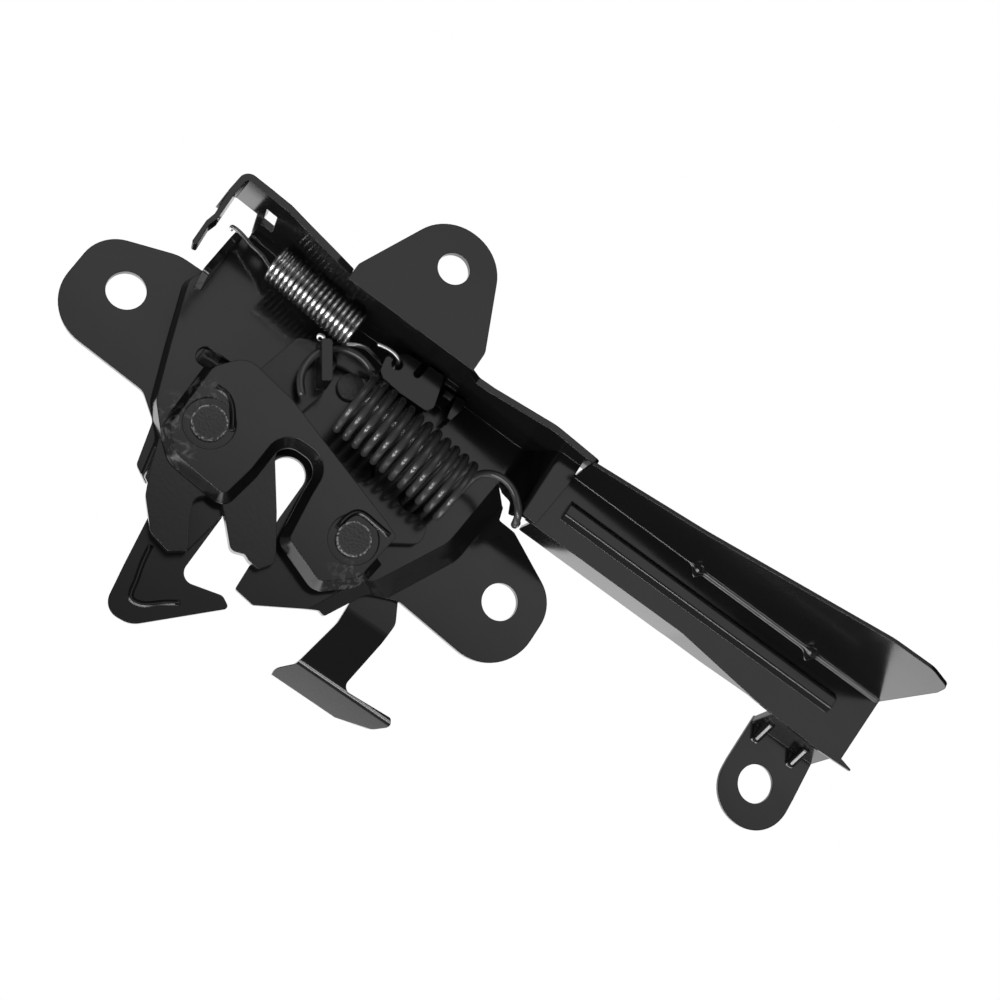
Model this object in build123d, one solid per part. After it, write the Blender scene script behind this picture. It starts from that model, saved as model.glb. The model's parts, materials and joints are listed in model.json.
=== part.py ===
from build123d import *
import math
import os

os.makedirs("parts", exist_ok=True)

# Row frame: +X along the plate away from the arm, -Y to the front, +Z to the striker slot mouth.
# The origin is the centre of the round end of the striker slot, on the front face of the plate.

# Sheets and layers, all in y
T_BASE = 1.8
T_ARM = 1.0
T_PLATE = 1.8
T_CLAW = 4.0
T_PAWL = 3.0
T_LEVER = 2.0
EAR_Y = 6.0
CLAW_BACK = -0.5
PAWL_BACK = -0.5
PLATE_FRONT = -8.4
LEVER_FRONT = T_BASE + 0.5
RIM_END = -4.9
RIM_ANGLE = 32.0

# Clearances
RUN = 0.06
SEAT = 0.05
FACE = 0.1

# Pivots in x and z
CLAW_PIVOT = (22.3, 2.6)
PAWL_PIVOT = (-22.2, 5.6)
SAFETY_PIVOT = (0.0, -28.0)
CLAW_SHAFT_R = 5.0
PAWL_SHAFT_R = 4.0
SAFETY_SHAFT_R = 3.0
SHANK_R = 3.2
HEAD_R = 4.4

# Striker slot, flange, wall and arm
SLOT_R = 4.6
FLANGE_IN = -42.4
FLANGE_OUT = FLANGE_IN - T_BASE
FLANGE_FREE = -29.0
WALL_IN = 44.2
WALL_OUT = WALL_IN + T_BASE
TOP_EAR_Y = -24.5
TAB_LEAN = 0.158
ARM_Y = -14.0
ARM_BEND_Z = -40.3
ARM_START = -54.5
ARM_END = -162.0

# Mounting holes: x, z, radius
EAR_LEFT = (59.3, -16.1, 5.0)
EAR_RIGHT = (-64.3, -6.4, 5.0)
EAR_TOP = (-3.4, -61.0, 4.1)
ARM_TAB = (-146.3, -3.6, 5.1)


def face(points):
    """Flat outline from points (x, y) or (x, y, corner radius)."""
    flat = [(p[0], p[1]) for p in points]
    radii = [p[2] if len(p) > 2 else 0 for p in points]
    if max(radii) == 0:
        return make_face(Polyline(*flat, close=True))
    return make_face(FilletPolyline(*flat, radius=radii, close=True))


def slab(points, front, depth):
    """Plate with its outline in x and z, from y = front backwards."""
    return extrude(Plane.XZ.offset(-(front + depth)) * face(points), amount=depth)


def side(points, start, length):
    """Bar with its outline in y and z, from x = start."""
    return extrude(Plane.YZ.offset(start) * face(points), amount=length)


def plan(points, start, length):
    """Bar with its outline in x and y, from z = start."""
    return extrude(Plane.XY.offset(start) * face(points), amount=length)


def pin(at, radius, front, back):
    """Round bar along y."""
    return extrude(Plane.XZ.offset(-back) * Pos(at[0], at[1]) * Circle(radius), amount=back - front)


def block(x0, x1, y0, y1, z0, z1):
    """Box from its two ends on each axis."""
    return Pos((x0 + x1) / 2, (y0 + y1) / 2, (z0 + z1) / 2) * Box(x1 - x0, y1 - y0, z1 - z0)


def spring(start, end, up, radius, turns, thick, lead, tail, steps=10):
    """Close coil from start to end, with its two wire ends through the lead and tail points."""
    start = Vector(*start)
    axis = Vector(*end) - start
    w = axis.normalized()
    u = Vector(*up)
    u = (u - w * u.dot(w)).normalized()
    v = w.cross(u)
    count = int(turns * steps)
    points = [Vector(*p) for p in lead]
    for i in range(count + 1):
        a = 2 * math.pi * turns * i / count
        points.append(start + axis * (i / count) + u * (radius * math.cos(a)) + v * (radius * math.sin(a)))
    points += [Vector(*p) for p in tail]
    path = Polyline(*points)
    section = Plane(origin=path @ 0, z_dir=path % 0) * RegularPolygon(thick, 6)
    return sweep(section, path=path, transition=Transition.RIGHT)


# Base plate

OUTLINE = [
    (20.0, -43.3), (30.0, -44.9), (36.0, -46.0), (43.0, -46.4), (43.0, -44.0), (46.0, -43.3), (46.0, -32.2, 1.0),
    (54.5, -31.9, 12.0), (72.9, -24.4, 10.0),
    (72.9, 0.9, 12.8), (41.0, 2.4, 4.0), (34.6, 7.2, 3.0), (31.3, 18.5, 1.5),
    (22.6, 23.6, 2.0), (16.5, 30.0, 1.0), (12.5, 31.8, 0.6), (8.7, 29.1, 0.8), (7.0, 18.3), (4.6, 8.0),
    (-4.6, 10.0), (-5.9, 30.8, 0.8), (-11.7, 31.6, 1.0), (-25.9, 23.2, 1.0), (-28.0, 23.3, 1.0),
    (-33.9, 12.2, 5.0), (-41.7, 8.9, 4.0), (-76.6, 12.1, 13.8), (-77.1, -14.4, 11.0),
    (-57.5, -24.2, 2.0), (-52.3, -24.5, 0.6), (-51.3, -28.0, 1.0), (-46.5, -30.5, 1.0),
    (-46.5, -43.3),
]
DISH_LEFT = [(46.2, -50.0), (46.2, -31.0, 3.0), (48.1, -26.5, 4.0), (41.9, -10.0, 10.0), (36.4, 3.7, 6.0),
             (29.8, 10.7, 4.0), (26.5, 24.0, 3.0), (26.5, 45.0)]
DISH_RIGHT = [(-10.0, 45.0), (-24.0, 23.5, 2.0), (-30.0, 11.0, 3.0), (-33.4, 9.2, 3.0), (-43.3, -9.7, 10.0),
              (-45.6, -31.0, 3.0), (-45.6, -50.0)]
LEFT_DRAFT = (0.25, 0.0)
RIGHT_DRAFT = (-0.9, 0.13)


def dish(level, inset_left, inset_right):
    """Outline of the raised floor at a level in y."""
    out = []
    for p in DISH_LEFT:
        out.append((p[0] + LEFT_DRAFT[0] * level - inset_left, p[1]) + tuple(p[2:]))
    for p in DISH_RIGHT:
        out.append((p[0] + RIGHT_DRAFT[0] * level + inset_right, p[1] + RIGHT_DRAFT[1] * level) + tuple(p[2:]))
    return Plane.XZ.offset(-level) * face(out)


def dished_sheet():
    """Floor, drawn walls and side ears in one sheet."""
    top = EAR_Y + T_BASE
    ears = slab(OUTLINE, EAR_Y, T_BASE)
    boss = loft([dish(0, 0, 0), dish(top, 0, 0)], ruled=True)
    pocket = loft([dish(T_BASE, 1.85, 2.4), dish(top + 1, 1.85, 2.4)], ruled=True)
    sheet = (ears + boss) - pocket
    return sheet & slab(OUTLINE, -1, top + 3)


def left_wall():
    """Low wall at the left end, higher towards the ear, that the small spring hooks over."""
    return side([(T_BASE, -43.3), (-2.6, -43.3, 0.8), (-4.0, -40.5), (-7.2, -28.5, 1.5), (-0.4, -25.5, 1.0),
                 (T_BASE, -25.5)], WALL_IN, T_BASE)


def bottom_flange():
    """Long flange towards the front, splayed at its left end, with its window and relief slit."""
    straight = plan([(20.0, T_BASE), (-46.5, T_BASE), (-54.5, ARM_Y), (-61.0, -15.0), (-61.0, -22.0, 1.5),
                     (-46.6, -24.0, 6.0), (-29.0, -19.2, 4.0), (-24.4, -18.8, 1.0), (-21.6, -21.0),
                     (-21.6, TOP_EAR_Y), (15.8, TOP_EAR_Y), (15.8, -27.0, 0.8), (20.0, FLANGE_FREE)],
                    FLANGE_OUT, T_BASE)
    splay = slab([(20.0, FLANGE_IN), (20.0, FLANGE_OUT), (30.0, -45.9), (36.0, -47.0), (43.0, -47.3),
                  (43.0, -45.5), (36.0, -45.2), (30.0, -44.1)], FLANGE_FREE, T_BASE - FLANGE_FREE)
    window = block(37.9, 41.6, -21.5, -11.2, -50, -40)
    slit = block(39.8, 44.0, -2.3, -0.9, -50, -42)
    return straight + splay - window - slit


def top_ear():
    """Ear bent out of the bottom flange."""
    ear = slab([(15.8, FLANGE_IN), (15.8, -47.0, 3.0), (5.4, -71.9, 12.2), (-11.0, -71.9, 12.2),
                (-21.6, -48.0, 4.0), (-21.6, FLANGE_IN)],
               TOP_EAR_Y, T_BASE)
    return ear - pin(EAR_TOP, EAR_TOP[2], TOP_EAR_Y - 1, TOP_EAR_Y + T_BASE + 1)


def fold(level, shift):
    """Section of the folded corner at a level in y, its tab moved out by the shift."""
    return Plane.XZ.offset(-level) * face([(41.0, -45.4), (41.0, -47.25), (49.2 + shift, -47.5, 2.6),
                                           (49.5 + shift, -40.5), (47.9 + shift, -40.5), (47.6 + shift, -45.7, 1.0)])


def end_tab():
    """Corner of the flange folded over to a leaning tab with a jogged prong."""
    back = FLANGE_FREE + 14.0
    corner = loft([fold(FLANGE_FREE, 0.0), fold(back, 14.0 * TAB_LEAN)], ruled=True)
    prong = slab([(47.9, -41.2), (47.4, -33.2), (48.0, -30.8), (47.4, -25.2, 0.5), (48.7, -24.9, 0.5), (49.1, -31.3),
                  (48.6, -33.9), (49.4, -41.1)], FLANGE_FREE, 4.4)
    return corner + prong


def cable_stop():
    """Two upright lips that hold the cable end, and the rounded tab beside them."""
    upper = plan([(-22.3, T_BASE), (-22.3, -9.4, 0.5), (-18.2, -9.4, 0.5), (-18.2, T_BASE)], -42.8, T_BASE)
    lower = plan([(-22.7, T_BASE), (-22.7, -9.0, 0.5), (-19.7, -9.0, 0.5), (-19.7, T_BASE)], -39.9, T_BASE)
    tab = slab([(-23.2, -41.2), (-26.2, -41.6, 0.8), (-26.4, -39.0), (-25.6, -35.0, 0.5), (-24.4, -34.8, 0.5),
                (-23.9, -37.0)], -6.0, 6.0 + T_BASE)
    return upper + lower + tab


def tongue():
    """Joggled tongue that carries the arm."""
    front = ARM_Y - T_BASE
    sheet = plan([(-44.0, 0.0), (-46.5, 0.0, 2.5), (-52.0, front, 2.5), (-58.6, front), (-58.6, ARM_Y),
                  (-53.4, ARM_Y, 1.0), (-47.9, T_BASE, 1.0), (-44.0, T_BASE)], FLANGE_IN - 0.5, 22.0)
    keep = slab([(-44.0, FLANGE_IN - 0.5), (-58.6, FLANGE_IN - 0.5), (-58.6, -36.0), (-57.0, -22.8, 1.0),
                 (-51.2, -22.8, 1.0), (-50.2, -27.0, 3.0), (-47.2, -30.6, 2.0), (-44.0, -30.6)], -20, 25)
    return sheet & keep


def base_plate():
    """Pressed plate: dish, ears, flanges, tongue, slot, holes and the window the safety hook swings into."""
    plate = dished_sheet() + left_wall() + bottom_flange() + top_ear() + end_tab() + cable_stop() + tongue()
    plate -= pin((0, 0), SLOT_R, -1, T_BASE + 1)
    plate -= block(-SLOT_R, SLOT_R, -1, T_BASE + 1, 0, 10.5)
    plate -= slab([(35.7, -10.1, 2.4), (35.9, -15.1, 2.4), (26.0, -15.1), (26.0, -10.1)], -1, 1.9)
    for ear in (EAR_LEFT, EAR_RIGHT):
        plate -= pin(ear, ear[2], EAR_Y - 1, EAR_Y + T_BASE + 1)
    for at in (CLAW_PIVOT, PAWL_PIVOT):
        plate -= pin(at, SHANK_R + SEAT, -1, T_BASE + 1)
    plate -= pin(SAFETY_PIVOT, SAFETY_SHAFT_R + SEAT, -1, T_BASE + 1)
    plate -= pin((13.5, -34.5), 1.1, -1, T_BASE + 1)
    plate -= block(23.0, 31.0, LEVER_FRONT - 0.3, LEVER_FRONT + T_LEVER + 0.4, 12.6, 22.8)
    return plate


# Shield arm

def arm_web():
    """Web with its long bead."""
    web = slab([(ARM_START, ARM_BEND_Z), (ARM_START, -22.8), (-104.9, -22.7, 20.0), (-131.0, -19.6, 20.0),
                (-153.0, -18.6, 5.0), (-163.7, -19.0), (-163.6, -19.5), (-159.9, -20.4), (ARM_END, ARM_BEND_Z)],
               ARM_Y, T_ARM)
    z0 = -31.0
    ridge = side([(ARM_Y, z0 - 2.9), (ARM_Y - 1.8, z0 - 1.5, 0.8), (ARM_Y - 1.8, z0 + 1.5, 0.8),
                  (ARM_Y, z0 + 2.9)], -150.0, 88.0)
    groove = side([(ARM_Y + 2, z0 - 1.9), (ARM_Y, z0 - 1.9), (ARM_Y - 0.8, z0 - 1.0), (ARM_Y - 0.8, z0 + 1.0),
                   (ARM_Y, z0 + 1.9), (ARM_Y + 2, z0 + 1.9)], -149.0, 86.0)
    return web + ridge - groove


def arm_bottom_flange():
    """Tall flange to the front, a little splayed."""
    sheet = plan([(-59.0, 0), (ARM_END, 0), (ARM_END - 0.6, -24.0), (-161.5, -29.0, 3.0), (-154.5, -31.9, 6.0),
                  (-142.0, -31.4, 15.0), (-91.0, -18.3, 40.0), (-59.0, -12.4)], 0, T_ARM)
    return Pos(0, ARM_Y + T_ARM, ARM_BEND_Z - 0.12) * Rot(6.7, 0, 0) * sheet


def arm_top_flange():
    """Low flange to the back that fades out along the arm."""
    strip = slab([(-56.2, -22.8), (-104.9, -22.7, 20.0), (-131.0, -19.6, 20.0), (-134.0, -19.5), (-134.0, -20.5),
                  (-131.0, -20.6, 20.0), (-104.9, -23.7, 20.0), (-56.2, -23.8)], ARM_Y + 0.2, 12)
    keep = plan([(-56.2, ARM_Y), (-56.2, -3.2, 1.0), (-104.0, -2.8, 10.0), (-115.8, -6.9), (-126.0, -11.6),
                 (-131.5, ARM_Y)], -26, 8)
    return strip & keep


def arm_tab():
    """Mounting tab at the far end, set back from the web."""
    drop = side([(ARM_Y, -20.6), (ARM_Y + T_ARM, -21.0), (ARM_Y + 9.0, -18.6), (ARM_Y + 9.6, -17.6),
                 (ARM_Y + 9.0, -16.9), (ARM_Y, -19.2)], -157.6, 20.6)
    y0 = ARM_Y + 9.0
    tab = slab([(-137.0, -18.8), (-136.1, -5.0), (-136.1, 8.1, 10.6), (-157.6, 8.1, 10.6),
                (-157.8, -6.0), (-157.6, -18.8)], y0, T_ARM)
    ribs = []
    for x in (-140.2, -152.2):
        ribs.append(side([(y0, -18.2), (y0 - 5.5, -18.9), (y0, -12.6)], x - 1.0, 2.0))
    body = drop + tab
    for rib in ribs:
        body += rib
    return body - pin(ARM_TAB, ARM_TAB[2], y0 - 2, y0 + T_ARM + 1)


def shield_arm():
    """Thin ribbed arm welded behind the tongue."""
    return arm_web() + arm_bottom_flange() + arm_top_flange() + arm_tab()


# Front plate

PLATE_OUTLINE = [
    (29.4, 2.5, 9.0), (29.6, -9.5, 4.0), (24.5, -16.5, 6.0), (9.9, -14.3, 1.0), (-26.0, -3.0, 2.0), (-30.6, -1.2, 1.0),
    (-28.6, 12.6, 5.0), (-21.2, 19.0, 2.5), (-9.3, 14.6, 1.5), (-7.7, 2.6, 6.0), (-7.0, -7.3, 6.5), (7.4, -7.3, 6.5),
    (7.9, 6.0, 10.0), (9.4, 14.9, 1.5), (24.0, 13.5, 5.0), (29.4, 9.0, 4.0),
]


def front_plate():
    """Front plate with its sloping rim and the two rivet seats."""
    depth = RIM_END - PLATE_FRONT
    back = PLATE_FRONT + T_PLATE
    outer = face(PLATE_OUTLINE)
    skin = extrude(Plane.XZ.offset(-PLATE_FRONT) * outer, amount=-depth, taper=-RIM_ANGLE)
    inner = offset(outer, amount=-1.0)
    pocket = extrude(Plane.XZ.offset(-back) * inner, amount=-(depth - T_PLATE), taper=-RIM_ANGLE)
    keep = slab(PLATE_OUTLINE, PLATE_FRONT - 1, 6) + block(20, 40, -10, -4, -9, 30)
    keep += block(-40, 40, -10, -4, 6, 30) + block(-8.5, 8.5, -10, -4, -8.5, 8)
    plate = (skin - pocket) & keep
    for at in (CLAW_PIVOT, PAWL_PIVOT):
        plate -= pin(at, 6.4, PLATE_FRONT - 1, PLATE_FRONT + 0.5)
        plate -= pin(at, SHANK_R + SEAT, PLATE_FRONT - 1, back + 1)
    return plate


# Claw

CLAW_OUTLINE = [
    (-9.9, 21.1, 0.6), (-8.5, 18.1, 2.0), (-3.2, 10.2, 5.0), (4.7, -0.4, 5.0), (7.4, -9.0, 6.0), (4.6, -21.0, 2.0),
    (6.4, -30.6, 1.5), (12.4, -32.0, 1.5), (17.9, -29.6, 2.0), (20.2, -18.9, 3.0), (22.6, -6.2, 3.0),
    (31.8, -5.5, 7.5), (30.6, 10.0, 4.0), (27.6, 18.4, 3.0), (24.4, 25.0, 4.0), (18.2, 31.6, 3.0), (12.4, 33.0, 0.8),
    (8.6, 30.1, 0.8), (12.6, 24.0, 3.0), (14.9, 19.0, 2.5), (10.7, 14.2, 2.2), (6.2, 18.5, 2.0),
    (0.4, 24.4, 2.0), (-2.9, 23.2, 1.0), (-4.5, 23.9, 1.0), (-7.6, 24.3, 1.0),
]


def claw():
    """Fork bolt with two tines, an arm and the bent post."""
    front = CLAW_BACK - T_CLAW
    body = slab(CLAW_OUTLINE, front, T_CLAW)
    post = slab([(12.8, -29.9, 0.6), (6.7, -21.1, 0.6), (4.4, -22.7, 0.6), (10.5, -31.5, 0.6)], -13.5, 9.5)
    body = body + post
    body -= pin(CLAW_PIVOT, CLAW_SHAFT_R + RUN, front - 1, 1)
    body -= slab([(15.2, -30.6), (10.3, -34.0), (6.5, -28.7), (11.4, -25.2)], -10.0, 2.4)
    return body


# Pawl

def pawl():
    """Catch lever with its tooth, heel, long arm and hook plate."""
    front = PAWL_BACK - T_PAWL
    low = slab([(-20.0, 4.0), (-15.9, 2.0), (-15.6, -2.0), (-14.1, -6.7, 0.5), (-16.0, -8.8, 1.0), (-18.4, -11.0, 3.0),
                (-9.6, -28.0, 4.0), (-8.4, -33.4), (-18.4, -33.4), (-19.6, -28.0, 6.0), (-26.2, -9.0, 4.0),
                (-35.8, -10.6, 3.0), (-37.2, -4.4, 2.5), (-27.6, 2.0, 3.0), (-26.0, 6.0)], front, T_PAWL)
    low += pin(PAWL_PIVOT, 6.2, front, PAWL_BACK)
    riser = slab([(-8.4, -31.6), (-8.4, -33.4), (-18.4, -33.4), (-18.4, -31.6)], -12.0, 9.0)
    plate = slab([(-3.4, -32.6, 2.0), (-2.5, -37.0, 2.0), (-6.6, -40.4, 2.5), (-11.5, -40.8), (-13.0, -41.3),
                  (-17.2, -41.4, 0.5), (-17.8, -40.2), (-19.8, -33.0, 1.5), (-18.6, -31.0, 1.2), (-10.4, -30.8, 4.0),
                  (-5.0, -31.4, 2.0)], -12.0, 1.8)
    body = low + riser + plate
    body -= pin(PAWL_PIVOT, PAWL_SHAFT_R + RUN, front - 1, 1)
    body -= pin((-6.0, -36.6), 1.5, -13, -9)
    body -= slab([(-13.0, -43.0), (-11.0, -43.0), (-10.5, -37.0, 0.9), (-12.3, -36.3, 0.9)], -13, 4)
    return body


# Safety lever

def lever_hook():
    """Flat part of the safety lever: hub, hook arm and hook."""
    return slab([(-8.0, -32.5, 6.0), (0.0, -38.5, 7.0), (8.6, -31.5, 6.0), (11.0, -6.0, 6.0), (16.0, 12.0, 6.0),
                 (21.5, 26.0, 6.0), (19.0, 40.7, 10.0), (16.8, 52.2, 4.5), (9.3, 51.6, 6.0), (-7.6, 35.2, 0.9),
                 (-4.5, 33.5, 2.0), (6.9, 36.4, 3.0), (6.8, 17.0, 3.0), (5.6, -2.0, 4.0), (-6.0, -18.0, 4.0)],
                LEVER_FRONT, T_LEVER)


def lever_handle():
    """Hand lever that steps back behind the plate and ends in a curved pad."""
    outline = slab([(-2.0, -36.5, 3.0), (-32.0, -12.0, 4.0), (-38.4, 2.0, 6.0), (-44.9, 14.0, 4.0), (-44.6, 20.0, 8.0),
                    (-42.8, 34.8, 2.0), (-57.6, 34.0, 1.0), (-59.0, 35.9, 1.2), (-56.0, 38.6, 3.0),
                    (-45.0, 41.4, 6.0), (-27.0, 43.0, 2.0), (-26.4, 39.2, 2.0), (-29.6, 36.0, 1.5), (-32.2, 22.0, 8.0), (-31.4, 9.0, 6.0), (-20.0, -6.0, 4.0),
                    (2.0, -20.0, 3.0)], 0, 30)
    f = LEVER_FRONT
    b = EAR_Y + T_BASE + 0.4
    band = side([(f, -40.0), (f, -8.0, 2.0), (b, -1.0, 2.0), (b, 18.0, 10.0), (b + 3.0, 35.2, 3.0), (b + 11.5, 41.0),
                 (b + 12.6, 39.4), (b + 4.8, 33.8, 4.0), (b + T_LEVER, 17.6, 12.0), (b + T_LEVER, -1.8, 3.0),
                 (f + T_LEVER, -8.8, 3.0), (f + T_LEVER, -40.0)], -70, 80)
    return outline & band


def safety_lever():
    """Secondary hook and hand lever in one pressing."""
    body = lever_hook() + lever_handle()
    return body - pin(SAFETY_PIVOT, SAFETY_SHAFT_R + RUN, 0, 12)


# Pivots

def pivot(at, shaft_r, collar_r, thick):
    """Shouldered rivet through a moving part, flush at the back and upset at the front."""
    back_face = PLATE_FRONT + T_PLATE
    front_run = CLAW_BACK - thick - FACE
    body = pin(at, SHANK_R, -FACE, T_BASE)
    body += pin(at, collar_r, CLAW_BACK + FACE, 0)
    body += pin(at, shaft_r, back_face, 0)
    body += pin(at, collar_r, back_face, front_run)
    body += pin(at, SHANK_R, PLATE_FRONT - 0.2, back_face)
    body += pin(at, HEAD_R, PLATE_FRONT - 0.8, PLATE_FRONT + 0.5)
    return body


def safety_pivot():
    """Rivet with its head in front of the plate and its shaft behind."""
    body = pin(SAFETY_PIVOT, 3.5, -1.6, 0) + pin(SAFETY_PIVOT, SAFETY_SHAFT_R, -0.5, 8.7)
    return body + pin(SAFETY_PIVOT, 4.2, 8.6, 9.9)


def safety_washer():
    """Washer that keeps the lever and its spring on the pivot."""
    return pin(SAFETY_PIVOT, 7.6, 7.6, 8.6) - pin(SAFETY_PIVOT, SAFETY_SHAFT_R + SEAT, 7, 9)


# Springs

def claw_spring():
    """Large extension spring from the claw post to the plate notch."""
    loop = []
    for angle in (55, 25, -5, -35, -65, -95, -120):
        r = math.radians(angle)
        loop.append((2.7 + 9.5 * math.cos(r), -8.8, -24.0 + 9.5 * math.sin(r)))
    hook = [(-40.4, -15.3, -26.6), (-43.3, -16.5, -27.1), (-46.8, -17.2, -26.2), (-49.6, -17.3, -24.2),
            (-51.5, -17.2, -21.9), (-52.4, -15.6, -20.6), (-53.0, -13.0, -20.3), (-53.5, -11.3, -21.0),
            (-53.7, -10.7, -22.6)]
    return spring((-2.4, -14.0, -21.5), (-37.6, -14.0, -17.8), (0, 0, -1), 7.85, 11.95, 1.0, loop, hook)


def pawl_spring():
    """Small extension spring from the hook plate to the left wall."""
    lead = [(47.1, -2.6, -42.6), (47.0, -4.8, -42.7), (45.9, -5.3, -42.6), (40.0, -7.4, -40.7), (35.4, -9.2, -39.2)]
    tail = [(5.2, -14.2, -33.4), (-2.0, -9.4, -35.4), (-4.9, -8.8, -36.0), (-6.1, -9.6, -36.6), (-6.1, -11.6, -36.8),
            (-5.6, -13.0, -37.4), (-4.2, -13.5, -37.8), (1.1, -13.5, -37.2)]
    return spring((32.7, -14.6, -38.3), (7.2, -14.6, -36.1), (0, 1, 0), 4.3, 17.75, 0.575, lead, tail)


def safety_spring():
    """Torsion spring round the safety pivot, one leg on the lever and one in the plate."""
    lead = [(-23.0, 3.0, -21.1), (-23.0, 4.7, -21.1), (-22.0, 6.0, -21.2), (-17.0, 6.4, -21.9),
            (-10.0, 6.0, -22.4), (-4.0, 5.3, -22.6)]
    tail = [(9.5, 6.8, -32.6), (13.0, 4.6, -34.3), (13.5, 0.9, -34.5)]
    return spring((0, 5.0, -28.0), (0, 6.9, -28.0), (0, 0, 1), 5.4, 1.16, 0.55, lead, tail)


parts = {
    "base_plate": base_plate,
    "shield_arm": shield_arm,
    "front_plate": front_plate,
    "claw": claw,
    "pawl": pawl,
    "safety_lever": safety_lever,
    "claw_pivot": lambda: pivot(CLAW_PIVOT, CLAW_SHAFT_R, 6.1, T_CLAW),
    "pawl_pivot": lambda: pivot(PAWL_PIVOT, PAWL_SHAFT_R, 5.4, T_PAWL),
    "safety_pivot": safety_pivot,
    "safety_washer": safety_washer,
    "claw_spring": claw_spring,
    "pawl_spring": pawl_spring,
    "safety_spring": safety_spring,
}

for name, make in parts.items():
    solid = make()
    print(name, len(solid.solids()), round(solid.volume, 1), solid.is_valid)
    export_step(solid, "parts/" + name + ".step")
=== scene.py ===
import json
import logging
import math
from dataclasses import dataclass
from enum import Enum
from typing import Any, Sequence

import bpy
import numpy as np
from mathutils import Matrix, Vector


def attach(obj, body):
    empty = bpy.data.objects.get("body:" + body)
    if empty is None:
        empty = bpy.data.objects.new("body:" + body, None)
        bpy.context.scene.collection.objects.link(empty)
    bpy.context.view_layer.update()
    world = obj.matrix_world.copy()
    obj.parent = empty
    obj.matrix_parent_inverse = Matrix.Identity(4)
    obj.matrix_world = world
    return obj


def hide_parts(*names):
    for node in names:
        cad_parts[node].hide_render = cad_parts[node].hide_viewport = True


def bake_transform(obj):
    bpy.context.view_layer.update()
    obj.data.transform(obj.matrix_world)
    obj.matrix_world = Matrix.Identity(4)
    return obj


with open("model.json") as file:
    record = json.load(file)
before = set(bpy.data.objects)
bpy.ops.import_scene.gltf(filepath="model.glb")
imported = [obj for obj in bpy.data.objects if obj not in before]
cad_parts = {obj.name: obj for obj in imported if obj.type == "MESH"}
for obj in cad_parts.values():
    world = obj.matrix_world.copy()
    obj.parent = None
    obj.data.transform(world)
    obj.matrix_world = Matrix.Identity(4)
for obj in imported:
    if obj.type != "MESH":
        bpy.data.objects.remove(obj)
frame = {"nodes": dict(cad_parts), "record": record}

logging.basicConfig(level=logging.INFO, format="%(name)s: %(message)s")
LOG = logging.getLogger("bonnet_latch")
MM = 0.001
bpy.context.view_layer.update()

Point = tuple[float, float, float]
Socket = bpy.types.NodeSocket

# The coat on every piece: its gloss, its slow blotches and its fine ripple.
COAT_IOR = 1.5
BLOTCH_SCALE, BLOTCH_DETAIL = 70.0, 4.0
BLOTCH_RANGE = (0.3, 0.7)
RIPPLE_DETAIL, RIPPLE_DEPTH = 3.0, 0.2 * MM
BEVEL_SAMPLES = 6
# Roughness at the greasy and rubbed places, whose lighter colour is partly a painted sheen.
WEAR_AND_SHEEN_ROUGHNESS = 0.16

# Fineness of the meshes. These are counts, but WIRE_STEP is a share of the wire's radius, and EMBOSS_STEP is in
# millimetres.
WIRE_SIDES, WIRE_STEP = 14, 0.42
STEPS_PER_TURN = 20
EMBOSS_STEP, EMBOSS_COLUMNS = 0.15, 13
BEND_STEPS, BEND_COLUMNS = 420, 20
CREST_STEPS = 40

# How far a pressed form stands off the metal at its edge, and reaches into it, in millimetres.
EMBOSS_PROUD, EMBOSS_SUNK = 0.01, 0.2
BEND_PROUD, BEND_SUNK = 0.02, 0.4


class Slot(str, Enum):
    """Material slots named in the record."""

    BLACK = "black_coat"
    CLAW = "claw_coat"
    RIVET = "rivet_steel"
    SPRING = "spring_black"
    BRIGHT = "spring_bright"


class Body(str, Enum):
    """Bodies that pieces ride on."""

    BASE = "base"
    CLAW = "claw"
    PAWL = "pawl"
    LEVER = "safety_lever"


class Graph:
    """Adds shader nodes to one node tree."""

    def __init__(self, tree: bpy.types.NodeTree) -> None:
        """Starts on a tree."""
        self.tree = tree

    def feed(self, node: bpy.types.Node, inputs: dict[str | int, Any]) -> None:
        """Fills some of a node's inputs.

        Args:
            node: the node.
            inputs: a plain value, or the socket to link, for each input by name or number.
        """
        for key, value in inputs.items():
            if isinstance(value, Socket):
                self.tree.links.new(value, node.inputs[key])
            else:
                node.inputs[key].default_value = value

    def add(self, kind: str, inputs: dict[str | int, Any] | None = None, **settings: Any) -> bpy.types.Node:
        """Adds a node.

        Args:
            kind: its type, without the word ShaderNode.
            inputs: what goes into its inputs, as in feed.
            settings: its other attributes.

        Returns:
            The node.
        """
        node = self.tree.nodes.new("ShaderNode" + kind)
        for key, value in settings.items():
            setattr(node, key, value)
        self.feed(node, inputs or {})
        return node

    def math(self, operation: str, *values: Any) -> Socket:
        """Result of a math node on one or two values."""
        return self.add("Math", dict(enumerate(values)), operation=operation).outputs["Value"]

    def vector(self, operation: str, first: Socket, second: Sequence[float], result: str) -> Socket:
        """Named result of a vector math node on a socket and a fixed vector."""
        return self.add("VectorMath", {0: first, 1: second}, operation=operation).outputs[result]

    def noise(self, place: Socket, scale: float, detail: float, distortion: float = 0.0) -> Socket:
        """Noise at a place."""
        inputs = {"Vector": place, "Scale": scale, "Detail": detail, "Distortion": distortion}
        return self.add("TexNoise", inputs).outputs["Fac"]

    def remap(self, value: Socket, source: Sequence[float], target: Sequence[float] = (0.0, 1.0),
              run: str = "LINEAR") -> Socket:
        """Takes one range of values to another.

        Args:
            value: what is mapped.
            source: first and last value of the old range.
            target: first and last value of the new one.
            run: LINEAR or SMOOTHSTEP.

        Returns:
            The mapped value, held within the new range.
        """
        inputs = {"Value": value, "From Min": source[0], "From Max": source[1],
                  "To Min": target[0], "To Max": target[1]}
        return self.add("MapRange", inputs, interpolation_type=run).outputs["Result"]


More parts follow.
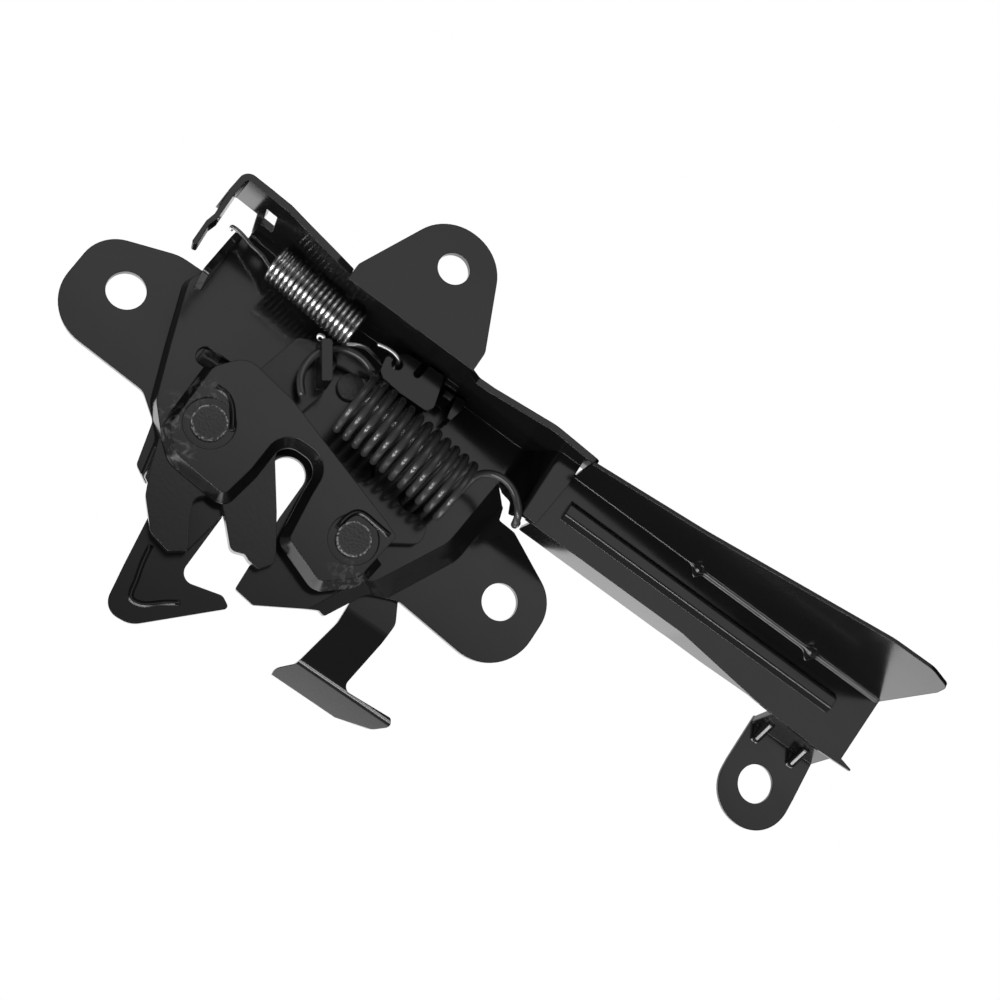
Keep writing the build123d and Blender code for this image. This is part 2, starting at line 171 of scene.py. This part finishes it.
@dataclass(frozen=True)
class WearAndSheen:
    """Places where a coat is greasy and rubbed, lightened by real grease and rubbing and by a painted sheen and
    highlight, broken up by noise.

    Args:
        places: each place, in millimetres, as each kind of mark takes it.
        colour: linear colour there, lighter than the coat: part real grease and rubbing, part painted highlight.
        scale: scale of the noise.
        detail: its detail.
        cut: noise values between which the wear comes in.
        distortion: how far the noise is drawn out into streaks.
    """

    places: tuple[tuple[float, ...], ...]
    colour: Point
    scale: float
    detail: float
    cut: tuple[float, float]
    distortion: float = 0.0

    def nearness(self, graph: Graph, place: Socket, spot: tuple[float, ...]) -> Socket:
        """How near the shaded point is to one place.

        Args:
            graph: tree to add to.
            place: Object coordinates.
            spot: one of the places.

        Returns:
            The nearness, from 0 to 1.
        """
        raise NotImplementedError

    def mask(self, graph: Graph, place: Socket) -> Socket:
        """Share of the lighter mark, real grease and rubbing with painted sheen: nearness to the nearest place,
        times the cut noise.

        Args:
            graph: tree to add to.
            place: Object coordinates.

        Returns:
            The share, from 0 to 1.
        """
        broken = graph.remap(graph.noise(place, self.scale, self.detail, self.distortion), self.cut)
        nearest, *others = [self.nearness(graph, place, spot) for spot in self.places]
        for other in others:
            nearest = graph.math("MAXIMUM", nearest, other)
        return graph.math("MULTIPLY", broken, nearest)


@dataclass(frozen=True)
class GreaseAndSheenPatches(WearAndSheen):
    """Greasy patches whose light grey is part grease, part a painted wet sheen; each place is (x, y, z, radius).

    Args:
        core: share of the radius inside which a patch is at its fullest.
    """

    core: float = 0.35

    def nearness(self, graph: Graph, place: Socket, spot: tuple[float, ...]) -> Socket:
        """Falls from 1 in the patch's core to 0 at its radius.

        Args:
            graph: tree to add to.
            place: Object coordinates.
            spot: (x, y, z, radius) of the patch.

        Returns:
            The nearness, from 0 to 1.
        """
        x, y, z, radius = spot
        away = graph.vector("DISTANCE", place, (x * MM, y * MM, z * MM), "Value")
        return graph.remap(away, (radius * MM, radius * self.core * MM), run="SMOOTHSTEP")


@dataclass(frozen=True)
class RubbedAndHighlightRings(WearAndSheen):
    """Rubbed rings round axes that run front to back, lightened partly by rubbing and partly by a painted ring
    highlight; each place is (x, z, radius).

    Args:
        reach: distance from the ring at which the rubbing and its painted highlight end, in millimetres.
        core: distance within which it is full.
    """

    reach: float = 0.7
    core: float = 0.1

    def nearness(self, graph: Graph, place: Socket, spot: tuple[float, ...]) -> Socket:
        """Falls from 1 on the ring to 0 at its reach.

        Args:
            graph: tree to add to.
            place: Object coordinates.
            spot: (x, z, radius) of the ring.

        Returns:
            The nearness, from 0 to 1.
        """
        x, z, radius = spot
        flat = graph.vector("MULTIPLY", place, (1.0, 0.0, 1.0), "Vector")
        away = graph.vector("DISTANCE", flat, (x * MM, 0.0, z * MM), "Value")
        off = graph.math("ABSOLUTE", graph.math("SUBTRACT", away, radius * MM))
        return graph.remap(off, (self.reach * MM, self.core * MM), run="SMOOTHSTEP")


@dataclass(frozen=True)
class Finish:
    """A coated or bare metal surface.

    Args:
        slot: record slot that the finish belongs to.
        colour: linear base colour.
        roughness: middle of the roughness range.
        spread: how far the roughness wanders either way.
        metallic: 0 for paint, 1 for bare metal.
        bevel: width in millimetres over which sharp edges look rounded.
        ripple: strength of the fine unevenness in the coat.
        grain: scale of that unevenness, in waves per metre.
        wear_and_sheen: greasy and rubbed places, lightened by real grease and rubbing and by painted highlights,
            or None.
    """

    slot: Slot
    colour: Point
    roughness: float
    spread: float = 0.05
    metallic: float = 0.0
    bevel: float = 0.35
    ripple: float = 0.04
    grain: float = 900.0
    wear_and_sheen: WearAndSheen | None = None

    def build(self) -> bpy.types.Material:
        """Makes the node material.

        Returns:
            The material, ready to assign.
        """
        mat = bpy.data.materials.new(self.slot.value + "_look")
        mat.use_nodes = True
        graph = Graph(mat.node_tree)
        place = graph.add("TexCoord").outputs["Object"]
        limits = (self.roughness - self.spread, self.roughness + self.spread)
        rough = graph.remap(graph.noise(place, BLOTCH_SCALE, BLOTCH_DETAIL), BLOTCH_RANGE, limits)
        edge = graph.add("Bevel", {"Radius": self.bevel * MM}, samples=BEVEL_SAMPLES).outputs["Normal"]
        ripple = graph.add("Bump", {"Strength": self.ripple, "Distance": RIPPLE_DEPTH, "Normal": edge,
                                    "Height": graph.noise(place, self.grain, RIPPLE_DETAIL)})
        colour = (*self.colour, 1.0)
        if self.wear_and_sheen:
            # A Mix node's sockets go by number: 0 is the share, 2 and 3 are values, and 6 and 7 are colours.
            # Lighter colour at the greasy and rubbed places: part real grease and rubbing, part painted sheen and
            # highlight.
            mask = self.wear_and_sheen.mask(graph, place)
            wear_and_sheen_colour = (*self.wear_and_sheen.colour, 1.0)
            colour = graph.add("Mix", {0: mask, 6: colour, 7: wear_and_sheen_colour}, data_type="RGBA").outputs[2]
            rough = graph.add("Mix", {0: mask, 2: rough, 3: WEAR_AND_SHEEN_ROUGHNESS}, data_type="FLOAT").outputs[0]
        graph.feed(mat.node_tree.nodes["Principled BSDF"], {
            "Base Color": colour, "Roughness": rough, "Metallic": self.metallic, "IOR": COAT_IOR,
            "Normal": ripple.outputs["Normal"]})
        return mat


FINISHES = (
    # Black coat: light grey greasy patches, part real grease and part a painted wet sheen.
    Finish(Slot.BLACK, (0.006, 0.006, 0.0065), 0.15, spread=0.03, ripple=0.02, wear_and_sheen=GreaseAndSheenPatches(
        ((29.5, -5.5, 8.0, 8.0), (28.0, -6.0, -3.0, 6.0), (24.0, -7.0, 13.0, 6.0),
         (-27.0, -6.0, 15.0, 8.0), (31.0, 0.0, 3.0, 6.0)),
        colour=(0.09, 0.088, 0.085), scale=420.0, detail=5.0, cut=(0.5, 0.72), distortion=1.2)),
    Finish(Slot.CLAW, (0.006, 0.006, 0.0065), 0.22, ripple=0.08),
    # Rivet steel: a light ring on each head, part rubbed and scratched metal and part a painted ring highlight.
    Finish(Slot.RIVET, (0.02, 0.02, 0.021), 0.26, spread=0.08, ripple=0.7, bevel=0.25, grain=1500.0,
           wear_and_sheen=RubbedAndHighlightRings(((22.3, 2.6, 4.4), (-22.2, 5.6, 4.4)),
                            colour=(0.3, 0.3, 0.3), scale=1500.0, detail=4.0, cut=(0.44, 0.62))),
    Finish(Slot.SPRING, (0.038, 0.038, 0.039), 0.2, bevel=0.1),
    Finish(Slot.BRIGHT, (0.6, 0.6, 0.61), 0.25, metallic=1.0, bevel=0.1),
)
LOOKS = {finish.slot: finish.build() for finish in FINISHES}


def coat(obj: bpy.types.Object, slot: Slot) -> None:
    """Gives a new piece the look of a record slot.

    Args:
        obj: the piece.
        slot: the slot.
    """
    obj.data.materials.append(LOOKS[slot])
    LOG.info("%s: %d faces", obj.name, len(obj.data.polygons))


def distance_along(path: np.ndarray) -> np.ndarray:
    """Distance along a path at each of its points: the running sum of its steps."""
    return np.concatenate([[0], np.cumsum(np.linalg.norm(np.diff(path, axis=0), axis=1))])


def distance_to_end(path: np.ndarray) -> np.ndarray:
    """Distance from each point of a path to the nearer of its ends."""
    run = distance_along(path)
    return np.minimum(run, run[-1] - run)


def directions(path: np.ndarray) -> np.ndarray:
    """Unit direction of a path at each of its points."""
    tangent = np.gradient(path, axis=0)
    return tangent / np.linalg.norm(tangent, axis=1)[:, None]


def grid_mesh(name: str, points: np.ndarray) -> bpy.types.Object:
    """Mesh from a grid of points over two parameters, with a flat fan at each end.

    Args:
        name: object name.
        points: array (along, around, 3) in metres; around closes on itself.

    Returns:
        A smooth-shaded object at the origin.
    """
    rows, around = points.shape[:2]
    index = np.arange(rows * around).reshape(rows, around)
    a, b = index[:-1], index[1:]
    quads = np.stack([a, np.roll(a, -1, 1), np.roll(b, -1, 1), b], -1).reshape(-1, 4)
    verts = np.vstack([points.reshape(-1, 3), points[0].mean(0), points[-1].mean(0)])
    first_middle, last_middle = (np.full(around, rows * around + i) for i in (0, 1))
    first = np.stack([np.roll(index[0], -1), index[0], first_middle], -1)
    last = np.stack([index[-1], np.roll(index[-1], -1), last_middle], -1)
    mesh = bpy.data.meshes.new(name)
    mesh.from_pydata(verts.tolist(), [], quads.tolist() + first.tolist() + last.tolist())
    mesh.polygons.foreach_set("use_smooth", np.ones(len(mesh.polygons), bool))
    mesh.update()
    obj = bpy.data.objects.new(name, mesh)
    bpy.context.scene.collection.objects.link(obj)
    return obj


def smooth_curve(points: np.ndarray, step: float) -> np.ndarray:
    """Natural cubic curve through points, by distance along them, sampled at about one step.

    Args:
        points: control points (n, 3).
        step: spacing of the samples.

    Returns:
        Samples (m, 3).
    """
    t = distance_along(points)
    n = len(points)
    h = np.diff(t)
    system = np.zeros((n, n))
    system[0, 0] = system[-1, -1] = 1
    inner = np.arange(1, n - 1)
    system[inner, inner - 1] = h[:-1]
    system[inner, inner] = 2 * (h[:-1] + h[1:])
    system[inner, inner + 1] = h[1:]
    slope = np.diff(points, axis=0) / h[:, None]
    right = np.zeros((n, 3))
    right[1:-1] = 6 * np.diff(slope, axis=0)
    m = np.linalg.solve(system, right)
    s = np.linspace(0, t[-1], max(int(t[-1] / step), 2))
    k = np.clip(np.searchsorted(t, s) - 1, 0, n - 2)
    a, b, w = (t[k + 1] - s)[:, None], (s - t[k])[:, None], h[k][:, None]
    bowed = (m[k] * a**3 + m[k + 1] * b**3) / (6 * w)
    return bowed + (points[k] / w - m[k] * w / 6) * a + (points[k + 1] / w - m[k + 1] * w / 6) * b


def tube(name: str, path: np.ndarray, radius: float, tip: float = 0.02) -> bpy.types.Object:
    """Round wire along a path: point(s, a) = path(s) + r(s) (N(s) cos a + B(s) sin a), N carried along the path.

    Args:
        name: object name.
        path: samples (n, 3) in millimetres.
        radius: wire radius in millimetres; both ends are rounded off.
        tip: share of the section's area that is left at an end.

    Returns:
        The wire.
    """
    tangent = directions(path)
    normal = np.empty_like(path)
    normal[0] = np.cross(tangent[0], np.eye(3)[np.argmin(np.abs(tangent[0]))])
    for i in range(1, len(path)):
        normal[i] = normal[i - 1] - tangent[i] * (normal[i - 1] @ tangent[i])
        normal[i] /= np.linalg.norm(normal[i])
    normal[0] /= np.linalg.norm(normal[0])
    binormal = np.cross(tangent, normal)
    end = np.minimum(distance_to_end(path) / radius, 1)
    size = radius * np.sqrt(np.clip(1 - (1 - end) ** 2, tip, 1))
    angle = (np.arange(WIRE_SIDES) * 2 * math.pi / WIRE_SIDES)[None, :, None]
    ring = normal[:, None] * np.cos(angle) + binormal[:, None] * np.sin(angle)
    return grid_mesh(name, (path[:, None] + ring * size[:, None, None]) * MM)


def loop_points(centre: Point, radius: float, angles: Sequence[float]) -> list[Point]:
    """Points on a circle that faces the front.

    Args:
        centre: its middle.
        radius: its radius.
        angles: degrees from the x axis towards the z axis, one for each point.

    Returns:
        The points.
    """
    x, y, z = centre
    turns = [math.radians(angle) for angle in angles]
    return [(x + radius * math.cos(turn), y, z + radius * math.sin(turn)) for turn in turns]


@dataclass
class CoilSpring:
    """Coil spring with a shaped wire end on each side; all points are in millimetres.

    Args:
        name: object name.
        node: CAD node that it stands for.
        slot: finish.
        start: middle of the coil's first end.
        end: middle of its last end.
        up: direction from the axis to the wire's start.
        radius: mean coil radius.
        turns: number of turns.
        wire: wire radius.
        lead: points of the first wire end, free end first.
        tail: points of the last wire end, free end last.
        other: body that the moving end follows; not used.
        moving: first and last point between which it passes from the base to that body; not used.
    """

    name: str
    node: str
    slot: Slot
    start: Point
    end: Point
    up: Point
    radius: float
    turns: float
    wire: float
    lead: Sequence[Point]
    tail: Sequence[Point]
    other: Body
    moving: tuple[Point, Point]

    def path(self) -> np.ndarray:
        """Lead, coil and tail as one smooth curve: in the coil, c(t) = start + t axis + r (U cos wt + V sin wt).

        Returns:
            Samples (n, 3) in millimetres.
        """
        start, end = np.array(self.start), np.array(self.end)
        axis = end - start
        w = axis / np.linalg.norm(axis)
        u = np.array(self.up, float)
        u -= w * (u @ w)
        u /= np.linalg.norm(u)
        v = np.cross(w, u)
        t = np.linspace(0, 1, int(self.turns * STEPS_PER_TURN) + 1)[:, None]
        a = t * self.turns * 2 * math.pi
        body = start + axis * t + self.radius * (u * np.cos(a) + v * np.sin(a))
        control = np.vstack([np.array(self.lead, float), body, np.array(self.tail, float)])
        return smooth_curve(control, self.wire * WIRE_STEP)

    def build(self) -> bpy.types.Object:
        """Makes the spring and hides the CAD node that it stands for.

        Returns:
            The spring.
        """
        obj = tube(self.name, self.path(), self.wire)
        coat(obj, self.slot)
        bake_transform(obj)
        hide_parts(self.node)
        return obj


@dataclass
class Emboss:
    """Low pressed line on a flat face that looks to the front.

    Args:
        name: object name.
        body: body that it rides on.
        face: y of the face, in millimetres.
        points: control points (x, z) of its middle, in millimetres.
        half_width: from the middle to where it runs out.
        height: how far it stands off the face.
    """

    name: str
    body: Body
    face: float
    points: Sequence[tuple[float, float]]
    half_width: float = 0.75
    height: float = 0.32

    def build(self) -> bpy.types.Object:
        """Makes it: p(s, t) = c(s) + w t n(s), standing off by h (1 + cos pi t) / 2, faded out at both ends.

        Returns:
            The line.
        """
        flat = np.array(self.points, float)
        path = smooth_curve(np.stack([flat[:, 0], np.zeros(len(flat)), flat[:, 1]], -1), EMBOSS_STEP)
        along = directions(path)
        across = np.stack([-along[:, 2], np.zeros(len(path)), along[:, 0]], -1)
        fade = np.sin(np.clip(distance_to_end(path) / (2 * self.half_width), 0, 1) * math.pi / 2)
        t = np.linspace(-1, 1, EMBOSS_COLUMNS)
        top = path[:, None] + across[:, None] * (t * self.half_width)[None, :, None]
        lift = self.height * fade[:, None] * (1 + np.cos(math.pi * t))[None, :] / 2
        top[..., 1] = self.face - EMBOSS_PROUD - lift
        floor = top[:, [-1, 0]].copy()
        floor[..., 1] = self.face + EMBOSS_SUNK
        section = np.concatenate([top, floor], axis=1)
        obj = grid_mesh(self.name, section[:, ::-1] * MM)  # reversed, so that its faces look outwards
        coat(obj, Slot.BLACK)
        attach(obj, self.body.value)
        return obj


@dataclass
class ArmBend:
    """Rounded inside of the bend between the arm's web and its tall flange, with two pressed darts.

    Args:
        name: object name.
        corner: (y, z) where the two faces would meet, in millimetres.
        splay: angle of the flange below square, in degrees.
        first: x where it starts.
        last: x where it ends.
        tight: bend radius before the first dart.
        wide: bend radius after it.
        easing: length that sets how gently one radius passes into the other.
        darts: x of each dart.
        dart_radius: how much the radius grows there.
        dart_length: half the length of a dart.
    """

    name: str = "arm_bend"
    corner: tuple[float, float] = (-14.0, -39.53)
    splay: float = 6.7
    first: float = -59.5
    last: float = -161.5
    tight: float = 0.25
    wide: float = 1.2
    easing: float = 0.8
    darts: tuple[float, float] = (-99.8, -137.9)
    dart_radius: float = 2.6
    dart_length: float = 1.3

    def radius(self, x: np.ndarray) -> np.ndarray:
        """Bend radius along the arm: a smooth step from tight to wide, with a bell curve at each dart.

        Args:
            x: places along the arm, in millimetres.

        Returns:
            The radius at each place.
        """
        share = 1 / (1 + np.exp((x - self.darts[0]) / self.easing))
        r = self.tight + (self.wide - self.tight) * share
        for middle in self.darts:
            r = r + self.dart_radius * np.exp(-((x - middle) / self.dart_length) ** 2)
        return r

    def build(self) -> bpy.types.Object:
        """Makes it: an arc of radius r(x) that touches both faces, for each x along the bend.

        Returns:
            The bend.
        """
        x = np.linspace(self.first, self.last, BEND_STEPS)
        r = self.radius(x)
        splay = math.radians(self.splay)
        y_mid = self.corner[0] - r
        z_mid = self.corner[1] + r * (1 - math.sin(splay)) / math.cos(splay)
        phi = np.linspace(0, math.pi / 2 - splay, BEND_COLUMNS)
        y = y_mid[:, None] + r[:, None] * np.cos(phi)[None, :] - BEND_PROUD
        z = z_mid[:, None] - r[:, None] * np.sin(phi)[None, :] + BEND_PROUD
        arc = np.stack([np.broadcast_to(x[:, None], y.shape), y, z], -1)
        behind = np.full_like(x, self.corner[0] + BEND_SUNK)
        below = np.full_like(x, self.corner[1] - BEND_SUNK)
        inside = np.stack([x, behind, below], -1)
        obj = grid_mesh(self.name, np.concatenate([arc, inside[:, None]], axis=1) * MM)
        coat(obj, Slot.BLACK)
        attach(obj, Body.BASE.value)
        return obj


@dataclass
class Crest:
    """Rounded top of a small gusset, as a short round bar let into it.

    Args:
        name: object name.
        x: where the gusset stands along the arm, in millimetres.
        start: (y, z) of the crest's first end.
        end: (y, z) of its last end.
        radius: its radius.
    """

    name: str
    x: float
    start: tuple[float, float] = (-10.0, -19.1)
    end: tuple[float, float] = (-4.7, -13.0)
    radius: float = 1.25

    def build(self) -> bpy.types.Object:
        """Makes the bar.

        Returns:
            The bar.
        """
        path = np.linspace((self.x, *self.start), (self.x, *self.end), CREST_STEPS)
        obj = tube(self.name, path, self.radius)
        coat(obj, Slot.BLACK)
        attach(obj, Body.BASE.value)
        return obj


PIECES = (
    CoilSpring(
        "claw_spring_coil", "claw_spring", Slot.SPRING,
        start=(-2.4, -14.0, -21.5), end=(-37.6, -14.0, -17.8), up=(0.0, 0.0, -1.0),
        radius=7.85, turns=11.95, wire=1.0,
        lead=loop_points((2.7, -8.8, -24.0), 9.5, (55, 25, -5, -35, -65, -95, -120)),
        tail=((-40.4, -15.3, -26.6), (-43.3, -16.5, -27.1), (-46.8, -17.2, -26.2), (-49.6, -17.3, -24.2),
              (-51.5, -17.2, -21.9), (-52.4, -15.6, -20.6), (-53.0, -13.0, -20.3), (-53.5, -11.3, -21.0),
              (-53.7, -10.7, -22.6)),
        other=Body.CLAW, moving=((-20.0, -14.0, -20.0), (3.0, -10.0, -27.0))),
    CoilSpring(
        "pawl_spring_coil", "pawl_spring", Slot.BRIGHT,
        start=(32.7, -14.6, -38.3), end=(7.2, -14.6, -36.1), up=(0.0, 1.0, 0.0),
        radius=4.3, turns=17.75, wire=0.575,
        lead=((47.1, -2.6, -42.6), (47.0, -4.8, -42.7), (45.9, -5.3, -42.6), (40.0, -7.4, -40.7),
              (35.4, -9.2, -39.2)),
        tail=((5.2, -14.2, -33.4), (-2.0, -9.4, -35.4), (-4.9, -8.8, -36.0), (-6.1, -9.6, -36.6),
              (-6.1, -11.6, -36.8), (-5.6, -13.0, -37.4), (-4.2, -13.5, -37.8), (1.1, -13.5, -37.2)),
        other=Body.PAWL, moving=((6.0, -14.6, -37.0), (-3.0, -12.0, -36.5))),
    CoilSpring(
        "safety_spring_coil", "safety_spring", Slot.SPRING,
        start=(0.0, 5.0, -28.0), end=(0.0, 6.9, -28.0), up=(0.0, 0.0, 1.0),
        radius=5.4, turns=1.16, wire=0.55,
        lead=((-23.0, 3.0, -21.1), (-23.0, 4.7, -21.1), (-22.0, 6.0, -21.2), (-17.0, 6.4, -21.9),
              (-10.0, 6.0, -22.4), (-4.0, 5.3, -22.6)),
        tail=((9.5, 6.8, -32.6), (13.0, 4.6, -34.3), (13.5, 0.9, -34.5)),
        other=Body.LEVER, moving=((4.0, 6.0, -28.0), (-14.0, 5.0, -22.0))),
    Emboss("hook_rim_line", Body.LEVER, face=2.3, points=(
        (16.6, 33.2), (15.6, 38.5), (14.2, 43.3), (12.9, 46.3), (10.4, 46.2), (6.6, 43.4), (2.8, 40.7))),
    Emboss("slot_bar", Body.BASE, face=0.9, points=(
        (34.9, -12.6), (31.5, -12.6), (28.5, -12.6), (26.2, -12.6)), half_width=2.4, height=0.8),
    Emboss("left_seat_step", Body.BASE, face=-8.4, points=(
        (26.2, -5.8), (22.8, -5.6), (19.4, -2.9), (16.9, 0.9))),
    Emboss("right_seat_step", Body.BASE, face=-8.4, points=(
        (-17.4, 5.6), (-17.6, 2.7), (-19.4, -0.7), (-23.2, -1.0), (-29.0, -0.4))),
    ArmBend(),
    Crest("tab_gusset_crest_1", x=-140.2),
    Crest("tab_gusset_crest_2", x=-152.2),
)


@dataclass
class Studio:
    """White background, the light round the object and the photo's camera.

    Args:
        lens: focal length, in millimetres.
        sensor: width of the sensor, in millimetres.
        clip: nearest and farthest distance that the camera sees, in metres.
        eye: the camera's place, in millimetres.
        right, up, back: directions of the camera's own axes.
        brightest: strength of the brightest part of the room.
        sides: share of the light that is left to the far left and right.
        side_range: sideways part of the direction over which the light fades to that share.
        room: (degrees, strength) round the x axis: 0 in front, 90 on the side of the slot's mouth, 180 behind.
    """

    lens: float = 46.8
    sensor: float = 36.0
    clip: tuple[float, float] = (0.01, 10.0)
    eye: Point = (1.743, -321.068, 73.507)
    right: Point = (-0.80088676, -0.28987886, -0.5239758)
    up: Point = (0.58032085, -0.15993316, -0.79852933)
    back: Point = (0.14767566, -0.94360566, 0.2963111)
    brightest: float = 24.0
    sides: float = 0.1
    side_range: tuple[float, float] = (0.45, 0.64)
    room: tuple[tuple[float, float], ...] = (
        (-180, 1.2), (-155, 1.2), (-140, 0.12), (-45, 0.12), (-26, 0.95), (-13, 1.0), (-10.3, 0.65), (-8.4, 0.4),
        (-4, 0.3), (4, 0.12), (38, 0.12), (46, 0.5), (50, 20.0), (53, 0.5), (60, 0.5), (64, 24.0), (68, 0.5),
        (74, 0.2), (101, 0.2), (107, 2.6), (138, 2.4), (180, 1.2))

    def camera(self) -> None:
        """Camera with the photo's place, aim and lens."""
        data = bpy.data.cameras.new("camera")
        data.lens = self.lens
        data.sensor_width = self.sensor
        data.clip_start, data.clip_end = self.clip
        obj = bpy.data.objects.new("camera", data)
        turn = Matrix((self.right, self.up, self.back)).transposed().to_4x4()
        obj.matrix_world = Matrix.Translation(Vector(self.eye) * MM) @ turn
        bpy.context.scene.collection.objects.link(obj)
        bpy.context.scene.camera = obj

    def world(self) -> None:
        """White behind the object for the camera; the room, by the angle in its y-z plane, for everything else."""
        world = bpy.data.worlds.new("studio")
        bpy.context.scene.world = world
        world.use_nodes = True
        world.node_tree.nodes.clear()
        graph = Graph(world.node_tree)
        way = graph.add("SeparateXYZ", {"Vector": graph.add("TexCoord").outputs["Generated"]}).outputs
        angle = graph.math("ARCTAN2", way["Z"], graph.math("MULTIPLY", way["Y"], -1.0))
        ramp = graph.add("ValToRGB", {"Fac": graph.remap(angle, (-math.pi, math.pi))})
        stops = ramp.color_ramp.elements
        for i, (degrees, level) in enumerate(self.room):
            stop = stops[i] if i < 2 else stops.new(1.0)
            stop.position = (degrees + 180.0) / 360.0
            stop.color = (level / self.brightest,) * 3 + (1.0,)
        strength = graph.remap(graph.math("ABSOLUTE", way["X"]), self.side_range,
                               (self.brightest, self.brightest * self.sides), run="SMOOTHSTEP")
        room = graph.add("Background", {"Color": ramp.outputs["Color"], "Strength": strength})
        white = graph.add("Background", {"Color": (1.0, 1.0, 1.0, 1.0), "Strength": 1.0})
        mix = graph.add("MixShader", {
            "Fac": graph.add("LightPath").outputs["Is Camera Ray"],
            1: room.outputs["Background"], 2: white.outputs["Background"]})
        graph.add("OutputWorld", {"Surface": mix.outputs["Shader"]})

    def build(self) -> None:
        """Sets the camera, the surroundings and the view transform."""
        self.camera()
        self.world()
        bpy.context.scene.view_settings.view_transform = "Standard"


def dress_frame() -> None:
    """Gives every CAD node the look of its record slot."""
    for part in frame["record"]["subparts"]:
        node = frame["nodes"][part["node"]]
        node.data.materials.clear()
        node.data.materials.append(LOOKS[Slot(part["material_slot"])])
        LOG.info("%s: %s", part["node"], part["material_slot"])


def main() -> None:
    dress_frame()
    for piece in PIECES:
        piece.build()
    Studio().build()


if __name__ == "__main__":
    main()
